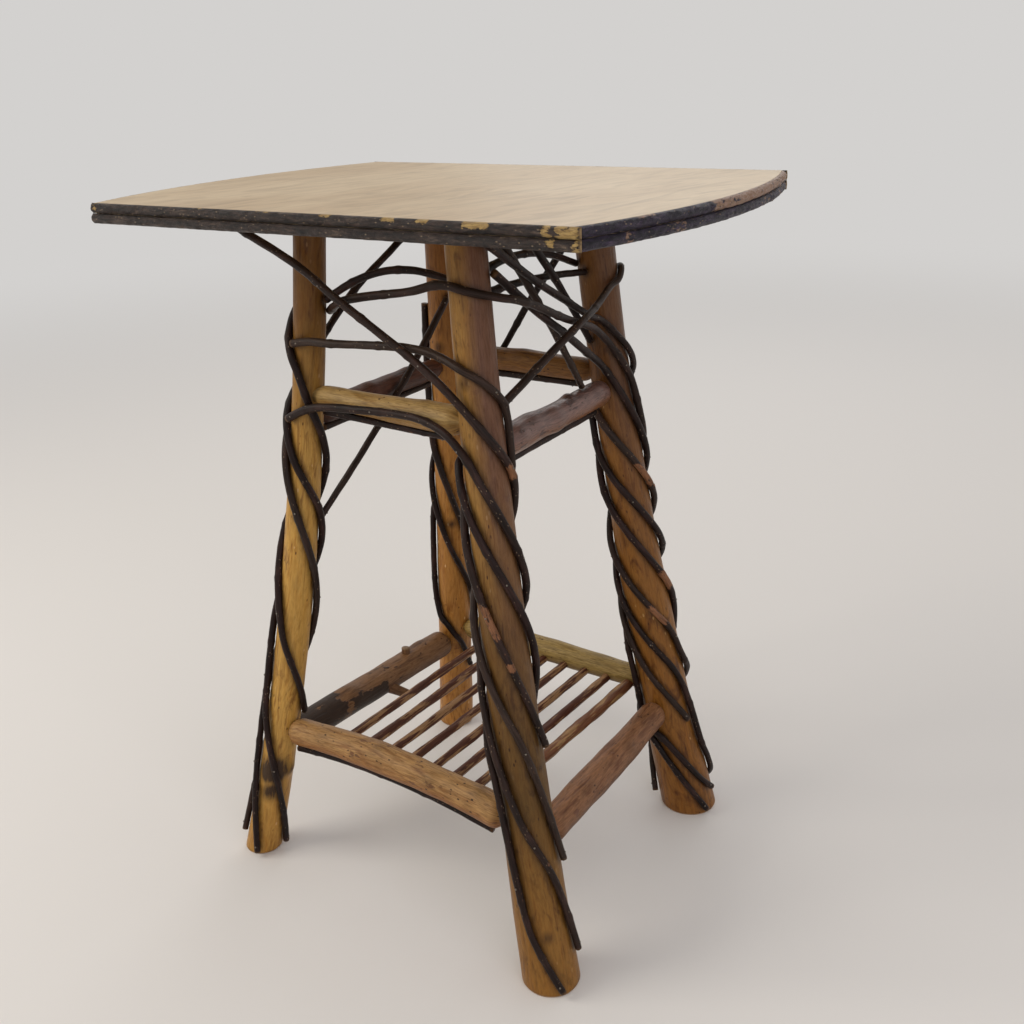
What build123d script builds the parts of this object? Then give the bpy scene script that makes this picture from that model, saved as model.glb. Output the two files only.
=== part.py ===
from build123d import *
import os
from math import ceil, cos, radians, sin

os.makedirs("parts", exist_ok=True)

# ---- driving sizes, millimetres; +X along the straight edges, front is -Y, floor at Z = 0 ----
HEIGHT = 705.0          # floor to tabletop
TOP_LENGTH = 500.0      # corner to corner along a straight edge
TOP_DEPTH = 424.0       # between the two straight edges
TOP_BOW = 32.0          # how far each bowed end stands out past its corners
TOP_THICK = 18.0        # board, covered by two bark strips one above the other
STRIP_THICK = 5.0       # a split bark strip, flat side to the board
GLUE_GAP = 0.2          # between the board, the strips and each other
FIT = 0.3               # round a tenon, and between a twig and what it is nailed to

LEG_TENON_D = 20.0      # leg tops, in blind holes in the underside of the board
LEG_TENON_LONG = 11.0
TENON_ROOT = 2.0        # how far a leg's tenon is drawn down inside it
TENON_D = 14.0          # ends of all eight stretchers
TENON_LONG = 13.0       # from the leg's surface inwards
HOLE_RUN = 12.0         # a hole is cut from this far outside the surface
SHOULDER_OFF = 1.6      # from the leg's surface to the round shoulder
SHOULDER_LONG = 8.0     # run of the whittled shoulder
SHOULDER_BEND = (0.35, 0.7)     # its one bend: shares of that run and of the rise to full thickness
NECK_STEP = 0.35        # small step from the tenon up to the shoulder

UPPER_FRONT = 739.0     # stretcher heights, in thousandths of the table's height; the front and back ones
UPPER_BACK = 725.0      # stand above the side ones, so their tenons pass each other inside the legs
UPPER_SIDE = 705.0
LOWER_FRONT = 215.6
LOWER_SIDE = 187.2

TWIG_D = 7.2            # spiral twigs, bark on
SIDES = 6               # a twig's faces
BEND_CLEAR = 0.1        # more room at each bend, for the leg's taper between bends
WRAP_STEP = 30.0        # degrees of leg from one bend of a wrapped twig to the next
BRIDGE_REACH = 0.36     # how far a twig's free run holds the direction it leaves in
PITCH_AT_FOOT = 0.80 * HEIGHT   # rise of one turn there
PITCH_FALL = 0.70       # how much less it is for each millimetre higher up

UNDER_TWIG_SHORT = 12.0     # a twig under a stretcher stops this much short of its far shoulder

SLATS = 8               # whittled sticks of the shelf
SLAT_D = 10.0
LAST_SLAT_D = 13.0
SLAT_TENON_D = 7.0
SLAT_TENON_LONG = 8.0
SLAT_DROP = 5.0         # slats lie this far below the stretchers' middles
SLAT_CARRIERS = {       # X in thousandths of the first and the last slat where they enter each stretcher
    "lower_stretcher_front": (-180.0, 212.0),
    "lower_stretcher_back": (-164.0, 238.0),
}

# Places below are given in thousandths: X of TOP_LENGTH, Y of TOP_DEPTH and heights of HEIGHT.
THOUSANDTH = 0.001

UNDERSIDE = HEIGHT - TOP_THICK


def up(z):
    """A height given in thousandths of the table's height."""
    return z * THOUSANDTH * HEIGHT


def place(x, y):
    """A place given in thousandths of the top's length and depth."""
    return x * THOUSANDTH * TOP_LENGTH, y * THOUSANDTH * TOP_DEPTH


def spot(x, y, z):
    """A point in the open, given in thousandths."""
    return Vector(*place(x, y), up(z))


# Each leg is a sapling with its own lean, bend and taper: top, foot and bend in thousandths, thickness in mm.
LEGS = {
    "front_left": dict(top=(-170.0, -245.3), foot=(-388.0, -351.4), bend=(26.0, 18.9), d=(30.0, 40.0)),
    "front_right": dict(top=(168.0, -252.4), foot=(380.0, -405.7), bend=(-12.0, -7.1), d=(36.0, 55.0)),
    "back_right": dict(top=(176.0, 250.0), foot=(370.0, 370.3), bend=(-18.0, -11.8), d=(38.0, 62.0)),
    "back_left": dict(top=(-176.0, 242.9), foot=(-314.0, 426.9), bend=(6.0, 4.7), d=(35.0, 43.0)),
}
LEG_STATIONS = 7
LEG_TAPER = 1.6         # 1 would be an even taper; more puts the thickening near the foot
ROUND_SIDES = 16        # flats round a peeled leg
BRANCH_SIDES = 12       # and round a peeled stretcher
TENON_SIDES = 12        # flats round a shaved tenon


def leg_axis(leg, z):
    """Middle of a leg at a height: a straight lean with one slow bend."""
    t = 1 - z / UNDERSIDE
    swell = 4 * t * (1 - t)
    (x0, y0), (x1, y1), (bx, by) = (place(*leg[part]) for part in ("top", "foot", "bend"))
    return Vector(x0 + (x1 - x0) * t + bx * swell, y0 + (y1 - y0) * t + by * swell, z)


def leg_radius(leg, z):
    """Half a leg's thickness at a height; it thickens faster towards the foot."""
    t = max(0.0, 1 - z / UNDERSIDE)
    return (leg["d"][0] + (leg["d"][1] - leg["d"][0]) * t**LEG_TAPER) / 2


def station_heights():
    return [UNDERSIDE * i / (LEG_STATIONS - 1) for i in range(LEG_STATIONS)]


def on_straight(leg, z, value):
    """A leg is straight between its stations, so its middle and radius are read between two of them."""
    step = UNDERSIDE / (LEG_STATIONS - 1)
    i = min(LEG_STATIONS - 2, max(0, int(z / step)))
    share = z / step - i
    return value(leg, i * step) * (1 - share) + value(leg, (i + 1) * step) * share


def axis_at(leg, z):
    return on_straight(leg, z, leg_axis)


def radius_at(leg, z):
    return on_straight(leg, z, leg_radius)


def leg_side(leg, z, angle, lift):
    """A point beside a leg: lift millimetres off its surface, at an angle about the upright."""
    out = radius_at(leg, z) + lift
    a = radians(angle)
    return axis_at(leg, z) + Vector(out * cos(a), out * sin(a), 0)


def rod_plane(start, along):
    return Plane(origin=start, z_dir=along)


def rod(start, end, d):
    """A straight rod between two points, shaved to small flats; it serves for tenons and for their holes."""
    along = end - start
    return extrude(rod_plane(start, along) * RegularPolygon(d / 2, TENON_SIDES), along.length)


def skin(rings):
    """A solid with flat faces over rings of corners, closed at both ends."""
    faces = [Face(Polyline(*ring, close=True).wire()) for ring in (rings[0], rings[-1])]
    for low, high in zip(rings, rings[1:]):
        for i in range(len(low)):
            corners = (low[i - 1], low[i], high[i], high[i - 1])
            faces.append(Face(Polyline(*corners, close=True).wire()))
    return Solid(Shell(faces))


def ring(plane, radius, sides):
    """Corners of a regular ring on a plane."""
    turns = [radians(360 * i / sides) for i in range(sides)]
    return [plane.from_local_coords(Vector(radius * cos(a), radius * sin(a), 0)) for a in turns]


# ---- tabletop and its bark edging ----

def outline(grow):
    """The top's outline: two straight edges and two bowed ends, grown or shrunk all round."""
    x, y = TOP_LENGTH / 2 + grow, TOP_DEPTH / 2 + grow
    bow = x + TOP_BOW
    edges = [
        Line((-x, -y), (x, -y)),
        ThreePointArc((x, -y), (bow, 0), (x, y)),
        Line((x, y), (-x, y)),
        ThreePointArc((-x, y), (-bow, 0), (-x, -y)),
    ]
    return make_face(edges)


def tabletop():
    board = extrude(Plane.XY.offset(UNDERSIDE) * outline(-STRIP_THICK - GLUE_GAP), TOP_THICK)
    for leg in LEGS.values():
        mouth = leg_axis(leg, UNDERSIDE)
        board -= rod(mouth, mouth + Vector(0, 0, LEG_TENON_LONG + FIT), LEG_TENON_D + 2 * FIT)
    return board


def strip_section(high):
    """A half-round strip seen from its end: flat side at 0, round side outwards."""
    half_round = [(0.45, 0), (0.86, 0.16), (1, 0.4), (1, 0.6), (0.86, 0.84), (0.45, 1)]
    corners = [(0, high), (0, 0)] + [(STRIP_THICK * out, high * up) for out, up in half_round]
    return make_face(Polyline(*corners, close=True))


def straight_strip(z, high, side):
    """Along the front (side -1) or the back (side 1)."""
    long = TOP_LENGTH
    start = Vector(-long / 2 * side, side * (TOP_DEPTH / 2 - STRIP_THICK), z)
    plane = Plane(origin=start, x_dir=(0, side, 0), z_dir=(side, 0, 0))
    return extrude(plane * strip_section(high), long)


def bowed_strip(z, high, side):
    """Round a bowed end, between the two straight strips."""
    x = TOP_LENGTH / 2 - STRIP_THICK
    chord = TOP_DEPTH / 2 - STRIP_THICK
    radius = (chord**2 + TOP_BOW**2) / (2 * TOP_BOW)
    middle = side * (x + TOP_BOW - radius)
    hoop_plane = Plane(origin=(middle, 0, z), x_dir=(side, 0, 0), z_dir=(0, -side, 0))
    hoop = revolve(hoop_plane * Pos(radius, 0) * strip_section(high), Axis((middle, 0, z), (0, 0, 1)), 360)
    keep = Pos(side * (x + TOP_BOW), 0, z + high / 2) * Box(4 * TOP_BOW, 2 * (chord - GLUE_GAP), 2 * high)
    return hoop & keep


def edging():
    """Eight strips: a lower and an upper one along each of the four edges, with a groove between."""
    high = (TOP_THICK - GLUE_GAP) / 2
    pieces = {}
    for level, z in (("lower", UNDERSIDE), ("upper", UNDERSIDE + high + GLUE_GAP)):
        pieces[f"{level}_edging_front"] = straight_strip(z, high, -1)
        pieces[f"{level}_edging_back"] = straight_strip(z, high, 1)
        pieces[f"{level}_edging_right"] = bowed_strip(z, high, 1)
        pieces[f"{level}_edging_left"] = bowed_strip(z, high, -1)
    return pieces


# ---- stretchers ----

def stretcher(ends, d_a, d_b):
    """A peeled branch with whittled round tenons, from leg a to leg b."""
    a, b, r_a, r_b = ends
    along = b - a
    long = along.length
    tenon = TENON_D / 2
    neck_a, neck_b = r_a + SHOULDER_OFF, long - r_b - SHOULDER_OFF
    run, rise = SHOULDER_BEND
    stations = [
        (neck_a, tenon + NECK_STEP),
        (neck_a + SHOULDER_LONG * run, tenon + (d_a / 2 - tenon) * rise),
        (neck_a + SHOULDER_LONG, d_a / 2),
        (neck_b - SHOULDER_LONG, d_b / 2),
        (neck_b - SHOULDER_LONG * run, tenon + (d_b / 2 - tenon) * rise),
        (neck_b, tenon + NECK_STEP),
    ]
    plane = rod_plane(a, along)
    body = skin([ring(plane.offset(at), r, BRANCH_SIDES) for at, r in stations])
    step = along.normalized()
    return body + rod(a + step * (r_a - TENON_LONG), b - step * (r_b - TENON_LONG), TENON_D)


def mortise(ends, at_a):
    """The hole in a leg for one stretcher tenon, drilled along the stretcher."""
    a, b, r_a, r_b = ends
    here, there, radius = (a, b, r_a) if at_a else (b, a, r_b)
    along = (there - here).normalized()
    floor = here + along * (radius - TENON_LONG - FIT)
    return rod(floor, here + along * (radius + HOLE_RUN), TENON_D + 2 * FIT)


STRETCHERS = {
    "upper_stretcher_front": ("front_left", "front_right", up(UPPER_FRONT), 21.0, 26.0),
    "upper_stretcher_back": ("back_left", "back_right", up(UPPER_BACK), 24.0, 24.0),
    "upper_stretcher_right": ("front_right", "back_right", up(UPPER_SIDE), 27.0, 26.0),
    "upper_stretcher_left": ("front_left", "back_left", up(UPPER_SIDE), 24.0, 22.0),
    "lower_stretcher_front": ("front_left", "front_right", up(LOWER_FRONT), 29.0, 31.0),
    "lower_stretcher_back": ("back_left", "back_right", up(LOWER_FRONT), 29.0, 26.0),
    "lower_stretcher_right": ("front_right", "back_right", up(LOWER_SIDE), 32.0, 31.0),
    "lower_stretcher_left": ("front_left", "back_left", up(LOWER_SIDE), 34.0, 33.0),
}


# Stumps of side branches on the lower left stretcher: how far along it, the way and reach from its middle,
# and the thickness at the root and at the sawn tip.
STUMPS = (
    (0.52, (30.0, 19.0, -17.0), 17.0, 10.0),
    (0.70, (0.0, 0.0, 23.0), 12.0, 9.0),
)
STUMP_SIDES = 8


def stump(share, reach, d_root, d_tip):
    """A side branch cut short, rooted inside the lower left stretcher."""
    a, b, r_a, r_b = ends_of("lower_stretcher_left")
    way = Vector(*reach)
    root = rod_plane(a + (b - a) * share, way)
    return skin([ring(root, d_root / 2, STUMP_SIDES), ring(root.offset(way.length), d_tip / 2, STUMP_SIDES)])


def leg_piece(name):
    """A sapling leg: flat foot, round tenon up into the board, blind mortises for its stretchers."""
    leg = LEGS[name]
    piece = skin([ring(Plane(leg_axis(leg, z)), leg_radius(leg, z), ROUND_SIDES) for z in station_heights()])
    top = leg_axis(leg, UNDERSIDE)
    piece += rod(top - Vector(0, 0, TENON_ROOT), top + Vector(0, 0, LEG_TENON_LONG), LEG_TENON_D)
    for stretcher_name, (leg_a, leg_b, z, d_a, d_b) in STRETCHERS.items():
        if name in (leg_a, leg_b):
            piece -= mortise(ends_of(stretcher_name), at_a=(name == leg_a))
    return piece


UNDER_TWIGS = {     # a straight twig nailed along the underside of a stretcher
    "under_twig_upper_front": "upper_stretcher_front",
    "under_twig_upper_right": "upper_stretcher_right",
    "under_twig_upper_back": "upper_stretcher_back",
    "under_twig_upper_left": "upper_stretcher_left",
    "under_twig_lower_front": "lower_stretcher_front",
    "under_twig_lower_right": "lower_stretcher_right",
}


def ends_of(name):
    """Middles and radii of the two legs where a stretcher joins them."""
    name_a, name_b, z, d_a, d_b = STRETCHERS[name]
    a, b = LEGS[name_a], LEGS[name_b]
    return axis_at(a, z), axis_at(b, z), radius_at(a, z), radius_at(b, z)


def under_twig(name):
    """Follows the stretcher's own taper, so it lies along it for its whole length."""
    leg_a, leg_b, z, d_a, d_b = STRETCHERS[name]
    a, b, r_a, r_b = ends_of(name)
    along = (b - a).normalized()
    room = SHOULDER_OFF + SHOULDER_LONG / 2
    start = a + along * (r_a + room) - Vector(0, 0, d_a / 2 + TWIG_D / 2 + FIT)
    end = b - along * (r_b + room + UNDER_TWIG_SHORT) - Vector(0, 0, d_b / 2 + TWIG_D / 2 + FIT)
    return twig_solid([start, end])


# ---- shelf ----

def slat_line(i):
    """Ends of slat i on the middles of the lower front and back stretchers, and its thickness."""
    share = i / (SLATS - 1)
    points = []
    for name, (first, last) in SLAT_CARRIERS.items():
        a, b, r_a, r_b = ends_of(name)
        x = place(first + (last - first) * share, 0)[0]
        points.append(a + (b - a) * ((x - a.X) / (b.X - a.X)) - Vector(0, 0, SLAT_DROP))
    return points[0], points[1], LAST_SLAT_D if i == SLATS - 1 else SLAT_D


def lower_radius(name, x):
    """Half the thickness of a lower stretcher at a place along X."""
    a, b, r_a, r_b = ends_of(name)
    d_a, d_b = STRETCHERS[name][3:]
    return (d_a + (d_b - d_a) * (x - a.X) / (b.X - a.X)) / 2


def slat_reach(i):
    """Where slat i's shoulders and tenon tips lie along its line, measured from its front end point."""
    front, back, d = slat_line(i)
    long = (back - front).length
    near, far = lower_radius("lower_stretcher_front", front.X), lower_radius("lower_stretcher_back", back.X)
    shoulders = near + FIT, long - far - FIT
    return shoulders, (near - SLAT_TENON_LONG, long - far + SLAT_TENON_LONG)


def slat(i):
    """A whittled six-sided stick with round tenons, seated in the front and back stretchers."""
    front, back, d = slat_line(i)
    (near, far), (tip_a, tip_b) = slat_reach(i)
    along = (back - front).normalized()
    plane = rod_plane(front + along * near, along)
    body = extrude(plane * RegularPolygon(d / 2, SIDES), far - near)
    return body + rod(front + along * tip_a, front + along * tip_b, SLAT_TENON_D)


def slat_holes(name):
    """Blind holes for the slats in the inner side of a lower stretcher."""
    holes = []
    for i in range(SLATS):
        front, back, d = slat_line(i)
        shoulders, (tip_a, tip_b) = slat_reach(i)
        along = (back - front).normalized()
        at_front = name == "lower_stretcher_front"
        floor = front + along * (tip_a - FIT) if at_front else front + along * (tip_b + FIT)
        away = along if at_front else -along
        holes.append(rod(floor, floor + away * (SLAT_TENON_LONG + HOLE_RUN), SLAT_TENON_D + 2 * FIT))
    return holes


# ---- twigs ----

def twig_solid(points):
    """A six-sided twig bent through a run of points, mitred at each."""
    path = Polyline(*points)
    section = Plane(origin=points[0], z_dir=points[1] - points[0]) * RegularPolygon(TWIG_D / 2, SIDES)
    if len(points) == 2:
        return extrude(section, (points[1] - points[0]).length)
    return sweep(section, path=path, transition=Transition.RIGHT)


def wrap_point(leg, z, angle, step):
    """A bend of a wrapped twig, so far out that the straight runs beside it clear the round of the leg."""
    out = (radius_at(leg, z) + TWIG_D / 2 + FIT) / cos(radians(step / 2)) + BEND_CLEAR
    a = radians(angle)
    return axis_at(leg, z) + Vector(out * cos(a), out * sin(a), 0)


def pitch_at(z):
    return PITCH_AT_FOOT - PITCH_FALL * z


def wrap_height(z_top, z_end, share):
    """Height where a twig has made this share of its turning: steep low down, flat high up."""
    top, end = pitch_at(z_top), pitch_at(z_end)
    return (PITCH_AT_FOOT - top * (end / top) ** share) / PITCH_FALL


def wrap(leg, *stations):
    """Bends of a twig that winds down a leg through stations, each a height in thousandths and an angle."""
    stations = [(up(z), angle) for z, angle in stations]
    turns = []
    for (z0, a0), (z1, a1) in zip(stations, stations[1:]):
        count = max(1, ceil(abs(a1 - a0) / WRAP_STEP))
        for i in range(count):
            turns.append((wrap_height(z0, z1, i / count), a0 + (a1 - a0) * i / count))
    turns.append(stations[-1])
    angles = [turns[0][1]] + [angle for z, angle in turns] + [turns[-1][1]]
    points = []
    for (z, angle), before, after in zip(turns, angles, angles[2:]):
        points.append(wrap_point(leg, z, angle, max(abs(angle - before), abs(after - angle))))
    return points


def bridge(a, toward_a, b, toward_b, bends):
    """The free run between two points, leaving one and reaching the other along given directions."""
    reach = (b - a).length * BRIDGE_REACH
    c1, c2 = a + toward_a.normalized() * reach, b - toward_b.normalized() * reach
    points = []
    for i in range(1, bends):
        t = i / bends
        u = 1 - t
        points.append(a * u**3 + c1 * (3 * u * u * t) + c2 * (3 * u * t * t) + b * t**3)
    return points


def joined(*runs, bends=5):
    """One twig laid through several runs, with a free run from the end of each to the start of the next."""
    points = list(runs[0])
    for run in runs[1:]:
        straight = run[0] - points[-1]
        leaving = points[-1] - points[-2] if len(points) > 1 else straight
        reaching = run[1] - run[0] if len(run) > 1 else straight
        points += bridge(points[-1], leaving, run[0], reaching, bends) + list(run)
    return points


def bowed(a, b, sag):
    """A run of points from a to b, its middle pushed aside by sag."""
    return [a + (b - a) * t + sag * (4 * t * (1 - t)) for t in (0, 0.25, 0.5, 0.75, 1)]


def stand_off(run, facing):
    """How far the middle of a twig's end stands off its seat, so that the end's near edge just clears it."""
    across = run.normalized().dot(facing)
    return FIT + TWIG_D / 2 * max(0.0, 1 - across**2) ** 0.5


def sprung(seat_a, seat_b, sag):
    """A short twig sprung between two seats, each a point on a surface and the way the surface faces."""
    (a, facing_a), (b, facing_b) = seat_a, seat_b
    points = bowed(a, b, sag)
    start = a + facing_a * stand_off(points[1] - points[0], facing_a)
    end = b + facing_b * stand_off(points[4] - points[3], facing_b)
    return bowed(start, end, sag)


def on_leg(leg, z, angle):
    return leg_side(leg, up(z), angle, 0), Vector(cos(radians(angle)), sin(radians(angle)), 0)


def on_board(x, y):
    return Vector(*place(x, y), UNDERSIDE), Vector(0, 0, -1)


def on_stretcher(name, share):
    """The top of a stretcher, at a share of its length."""
    a, b, r_a, r_b = ends_of(name)
    d_a, d_b = STRETCHERS[name][3:]
    return a + (b - a) * share + Vector(0, 0, (d_a + (d_b - d_a) * share) / 2), Vector(0, 0, 1)


def under_top(x, y):
    """Where the middle of a twig's end is nailed up under the board."""
    return Vector(*place(x, y), UNDERSIDE - FIT - TWIG_D / 2)


def beside(leg, z, angle):
    """Where a twig's end is nailed flat to the side of a leg."""
    return leg_side(leg, up(z), angle, TWIG_D / 2 + FIT)


def front_twigs(fl, fr):
    """From the front left corner across the front, then down the front right leg."""
    return {
        "twig_front_a": joined(
            [under_top(-316, -316), spot(-180, -323, 930)],
            [spot(-40, -340, 877), spot(90, -340, 824)],
            wrap(fr, (749, -66), (705, -10), (667, 33), (407, 213), (244, 291), (165, 341), (51, 376)),
            bends=3,
        ),
        "twig_front_b": joined(
            wrap(fl, (813, -104), (816, -78)),
            [spot(-100, -309, 821), spot(40, -316, 828)],
            wrap(
                fr, (818, -118), (813, -92), (804, -58), (791, -30), (767, 12), (740, 32), (698, 44),
                (661, 66), (630, 94), (489, 214), (348, 314), (179, 374)
            ),
            bends=3,
        ),
        "twig_front_c": joined(
            wrap(fl, (709, -112), (718, -84)),
            [spot(-60, -318, 739), spot(40, -321, 743)],
            wrap(fr, (706, -96), (543, 33), (292, 245), (101, 276), (60, 296), (11, 322)),
            bends=3,
        ),
        "twig_front_right_a": wrap(fr, (702, 160), (689, 204), (372, 440)),
        "twig_front_right_b": wrap(fr, (676, 150), (650, 180), (335, 370)),
        "twig_front_arch": sprung(on_leg(fl, 868, 10), on_leg(fr, 908, 170), Vector(0, 0, 18)),
    }


def right_twigs(fl, fr, br):
    """From the front right corner along the right side, then down the back right leg."""
    return {
        "twig_right_a": joined(
            [beside(fr, 919, 20), spot(240, -151, 871)],
            [spot(240, 9, 813), spot(240, 94, 780)],
            wrap(
                br, (728, -62), (610, 26), (394, 211), (267, 328), (224, 350), (122, 362), (60, 395),
                (20, 440)
            ),
            bends=3,
        ),
        "twig_right_b": joined(
            [beside(fl, 852, 30), spot(-80, -302, 874)],
            [spot(0, -314, 888), spot(90, -323, 898)],
            wrap(fr, (909, -100), (902, -52)),
            [spot(256, -165, 875), spot(258, -47, 844)],
            wrap(
                br, (766, -44), (722, -6), (641, 26), (461, 211), (328, 344), (272, 366), (215, 430),
                (130, 520), (20, 570)
            ),
            bends=3,
        ),
        "twig_right_c": sprung(
            on_board(206, -219), on_stretcher("upper_stretcher_right", 0.73), Vector(0, 3, 3)
        ),
        "twig_right_d": joined(
            [under_top(224, -311), spot(224, -125, 905)],
            [spot(228, 47, 851), spot(232, 118, 828)],
            wrap(br, (804, -56), (755, 12), (712, 70)),
            bends=3,
        ),
        "twig_right_e": sprung(on_board(200, -118), on_leg(br, 777, -104), Vector(0, 2, 3)),
        "twig_right_arch": sprung(on_leg(fr, 902, 124), on_leg(br, 885, -128), Vector(-3, 0, 18)),
        "twig_right_f": joined(
            [beside(fr, 760, 58), spot(252, -137, 796), spot(268, -28, 828)],
            [spot(246, 146, 845), spot(238, 208, 857)],
            wrap(br, (868, 4), (879, 32), (875, 60)),
            bends=3,
        ),
        "twig_right_bar": sprung(on_leg(fr, 889, 92), on_leg(br, 875, -98), Vector(-4, 0, 3)),
        "twig_back_right_a": wrap(
            br, (678, -122), (614, -48), (538, 28), (338, 216), (261, 271), (189, 328), (173, 338)
        ),
        "twig_back_right_b": wrap(
            br, (667, -160), (614, -138), (556, -71), (468, 20), (284, 220), (238, 228), (207, 232),
            (176, 233), (156, 250), (148, 273), (130, 290), (65, 336), (42, 360)
        ),
        "twig_back_right_c": wrap(
            br, (607, -176), (548, -134), (467, -54), (379, 23), (298, 70), (227, 116), (194, 148),
            (183, 180), (159, 222), (130, 262), (102, 280), (11, 333)
        ),
    }


def back_twigs(br, bl):
    """From the back right corner across the back, then down the back left leg."""
    return {
        "twig_back_a": joined(
            [under_top(152, 323), spot(72, 323, 885)],
            [spot(-24, 325, 790), spot(-78, 325, 729)],
            wrap(bl, (633, 95), (499, 216), (374, 301), (241, 400)),
            bends=3,
        ),
        "twig_back_left_a": wrap(bl, (803, 200), (749, 206), (709, 213), (573, 245), (427, 332), (284, 430)),
        "twig_back_left_b": wrap(
            bl, (570, 92), (410, 220), (291, 226), (244, 255), (223, 286), (184, 328), (136, 352)
        ),
    }


def left_twigs(bl, fl):
    """From the back left corner along the left side, then down the front left leg."""
    return {
        "twig_left_a": joined(
            [under_top(-242, 377), spot(-242, 172, 904)],
            [spot(-242, -47, 840), spot(-240, -132, 806)],
            wrap(fl, (772, 126), (704, 221), (648, 278), (576, 361), (278, 570), (174, 588), (9, 652)),
            bends=3,
        ),
        "twig_left_b": sprung(on_leg(bl, 817, -46), on_leg(fl, 552, 60), Vector(8, 0, 2)),
        "twig_front_left_c": wrap(fl, (586, 150), (546, 178), (455, 241), (374, 284), (244, 383)),
        "twig_front_left_a": wrap(
            fl, (867, 150), (843, 184), (816, 222), (777, 277), (729, 314), (684, 357), (645, 391),
            (390, 575), (270, 596), (11, 741)
        ),
        "twig_front_left_b": wrap(fl, (712, 165), (672, 210), (340, 442), (180, 530), (30, 572)),
    }


def twig_paths():
    """Every spiral twig and brace, as its run of points."""
    fl, fr, br, bl = (LEGS[n] for n in ("front_left", "front_right", "back_right", "back_left"))
    return {**front_twigs(fl, fr), **right_twigs(fl, fr, br), **back_twigs(br, bl), **left_twigs(bl, fl)}


# ---- build ----

def build():
    nodes = {"tabletop": tabletop()}
    nodes.update(edging())
    for name in STRETCHERS:
        leg_a, leg_b, z, d_a, d_b = STRETCHERS[name]
        nodes[name] = stretcher(ends_of(name), d_a, d_b)
    for name in ("lower_stretcher_front", "lower_stretcher_back"):
        nodes[name] -= slat_holes(name)
    for share, reach, d_root, d_tip in STUMPS:
        nodes["lower_stretcher_left"] += stump(share, reach, d_root, d_tip)
    for name in LEGS:
        nodes[f"leg_{name}"] = leg_piece(name)
    for i in range(SLATS):
        nodes[f"shelf_slat_{i + 1}"] = slat(i)
    for name, carrier in UNDER_TWIGS.items():
        nodes[name] = under_twig(carrier)
    for name, points in twig_paths().items():
        nodes[name] = twig_solid(points)
    return nodes


def main():
    for name, shape in build().items():
        shape.label = name
        export_step(shape, f"parts/{name}.step")


main()
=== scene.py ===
import math
import bpy
import numpy as np
from mathutils import Matrix, Vector, noise


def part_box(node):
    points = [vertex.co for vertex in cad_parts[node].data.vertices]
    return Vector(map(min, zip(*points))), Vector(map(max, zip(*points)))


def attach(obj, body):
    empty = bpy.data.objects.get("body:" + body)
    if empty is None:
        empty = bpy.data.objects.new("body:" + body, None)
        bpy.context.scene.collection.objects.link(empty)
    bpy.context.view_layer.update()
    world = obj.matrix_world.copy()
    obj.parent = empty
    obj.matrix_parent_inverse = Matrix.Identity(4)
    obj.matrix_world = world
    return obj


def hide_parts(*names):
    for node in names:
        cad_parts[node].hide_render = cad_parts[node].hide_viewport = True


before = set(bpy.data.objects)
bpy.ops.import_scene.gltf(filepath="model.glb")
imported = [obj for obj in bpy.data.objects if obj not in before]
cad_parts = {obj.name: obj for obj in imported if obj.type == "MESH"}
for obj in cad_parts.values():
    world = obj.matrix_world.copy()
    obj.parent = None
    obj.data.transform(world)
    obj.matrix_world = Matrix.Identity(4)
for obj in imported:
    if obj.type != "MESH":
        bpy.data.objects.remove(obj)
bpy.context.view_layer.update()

MM = 0.001

# ---- measures of the table's own pieces, in metres ----

TWIG_STEP = 2.6 * MM        # distance between rings along a twig
BRANCH_STEP = 2.5 * MM      # along a leg, a stretcher or a slat
STUMP_STEP = 1.2 * MM
TWIG_RADIUS = 3.65 * MM     # bark on
TWIG_SIDES = 14             # points round a twig's ring
LEG_SIDES = 72
BRANCH_SIDES = 48
STUMP_SIDES = 24
SLAT_SIDES = 30
BUD_SPACING, BUD_HIGH, BUD_WIDE = 70 * MM, 0.5 * MM, 3 * MM
SHADE_AND_STAIN_REACH = 5.5 * MM      # painted shade beside each twig, together with the varnish and dirt that gather there


def rgb(colour):
    """An sRGB hex colour as linear numbers with alpha."""
    parts = [int(colour[i:i + 2], 16) / 255 for i in (1, 3, 5)]
    return tuple(c / 12.92 if c <= 0.04045 else ((c + 0.055) / 1.055) ** 2.4 for c in parts) + (1.0,)


# ---- reading shapes from the frame ----

RING_CORNERS = 6            # of a plain twig, and the fewest that make a ring of a plain branch
LEG_CORNERS = 16            # of one level ring of a plain leg
RING_ACROSS = 7.3 * MM      # two corners of one ring of a plain twig lie nearer than this
END_REACH = 1.6 * MM        # from a branch's end to the corners that belong to it
SAME_RING = 0.15 * MM       # corners of a branch's ring lie within this along its line
SAME_LEVEL = 0.1 * MM       # and those of a leg's ring within this in height


def merged(node):
    """A node's corners with doubles merged, its triangles, and which corners share an edge."""
    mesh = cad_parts[node].data
    raw = np.array([v.co[:] for v in mesh.vertices])
    places, which = np.unique(np.round(raw, 6), axis=0, return_inverse=True)
    which = which.reshape(-1)
    mesh.calc_loop_triangles()
    triangles = [tuple(int(which[i]) for i in t.vertices) for t in mesh.loop_triangles]
    beside = {}
    for t in triangles:
        for i in t:
            beside.setdefault(i, set()).update(j for j in t if j != i)
    return places, triangles, beside


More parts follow.
